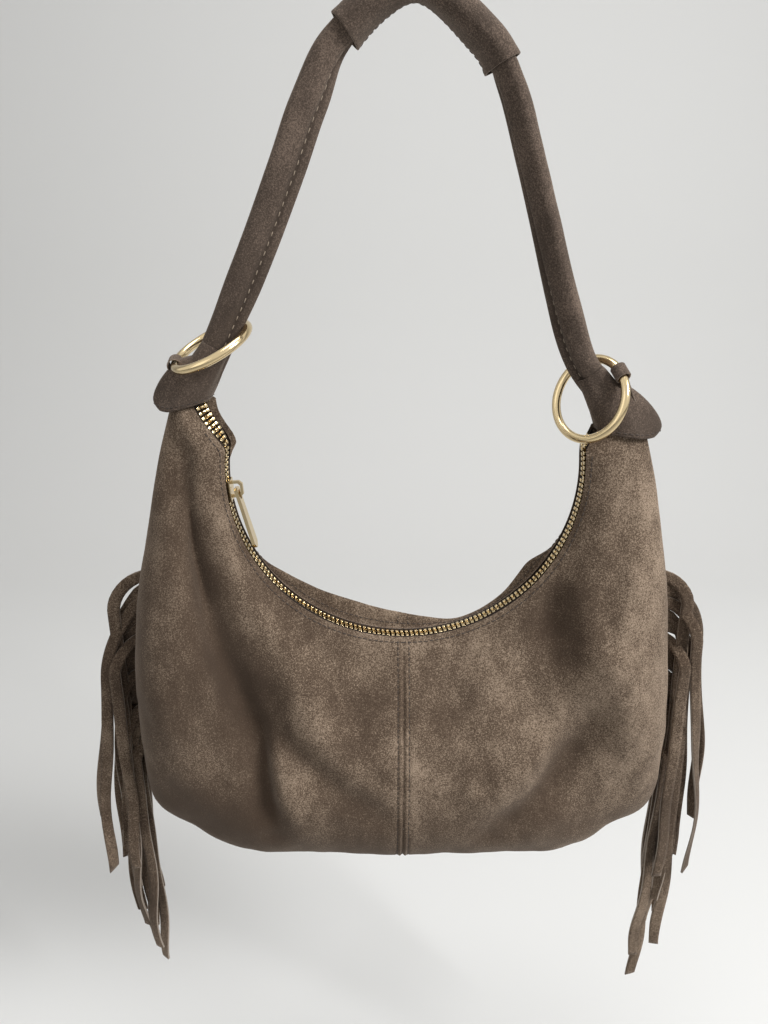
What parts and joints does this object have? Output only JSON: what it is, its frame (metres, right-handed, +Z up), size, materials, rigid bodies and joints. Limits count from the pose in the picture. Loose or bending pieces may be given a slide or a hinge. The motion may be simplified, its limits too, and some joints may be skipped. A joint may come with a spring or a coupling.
{
  "type": "fringed shoulder bag",
  "caption": "Slouchy suede shoulder bag with a top zip, a sleeved loop strap held through round rings, and long cut fringe at both sides.",
  "frame": {"origin": "point where the underside of the strap's sleeve rests when the bag hangs", "axes": "+Z up, +Y toward the back of the bag, +X to the viewer's right seen from the front"},
  "size_m": [0.4142, 0.0974, 0.6577],
  "materials": {
    "suede_body": "napped taupe suede",
    "suede_strap": "napped darker taupe suede",
    "suede_fringe": "cut taupe suede strips",
    "zip_cloth": "dark brown woven tape",
    "pale_gold": "polished pale gold plating"
  },
  "bodies": {
    "bag": {"front_left": "suede_body", "front_right": "suede_body", "back_left": "suede_body", "back_right": "suede_body", "zip_tape_front": "zip_cloth", "zip_tape_back": "zip_cloth", "zip_teeth_front": "pale_gold", "zip_teeth_back": "pale_gold", "strap": "suede_strap", "strap_wrap": "suede_strap", "band_left": "suede_strap", "band_right": "suede_strap", "ring_loop_left": "suede_strap", "ring_loop_right": "suede_strap", "fringe_left": "suede_fringe", "fringe_right": "suede_fringe"},
    "slider": {"zip_slider": "pale_gold"},
    "pull": {"zip_pull": "pale_gold"},
    "left_ring": {"ring_left": "pale_gold"},
    "right_ring": {"ring_right": "pale_gold"}
  },
  "joints": [
    {"name": "zip_travel", "type": "hinge", "parent": "bag", "child": "slider", "pos_m": [0, 0, -0.233], "axis": [0, -1, 0], "range_deg": [-10, 160]},
    {"name": "pull_swing", "type": "hinge", "parent": "slider", "child": "pull", "pos_m": [-0.09786, 0, -0.23984], "axis": [0, -1, 0], "range_deg": [0, 120]},
    {"name": "left_ring_tilt", "type": "hinge", "parent": "bag", "child": "left_ring", "pos_m": [-0.12619, 0, -0.16752], "axis": [0.0984, -0.9726, -0.2108], "range_deg": [-15, 0]},
    {"name": "right_ring_tilt", "type": "hinge", "parent": "bag", "child": "right_ring", "pos_m": [0.11545, -0.00863, -0.17075], "axis": [-0.3022, 0.7211, 0.6235], "range_deg": [0, 12]}
  ]
}
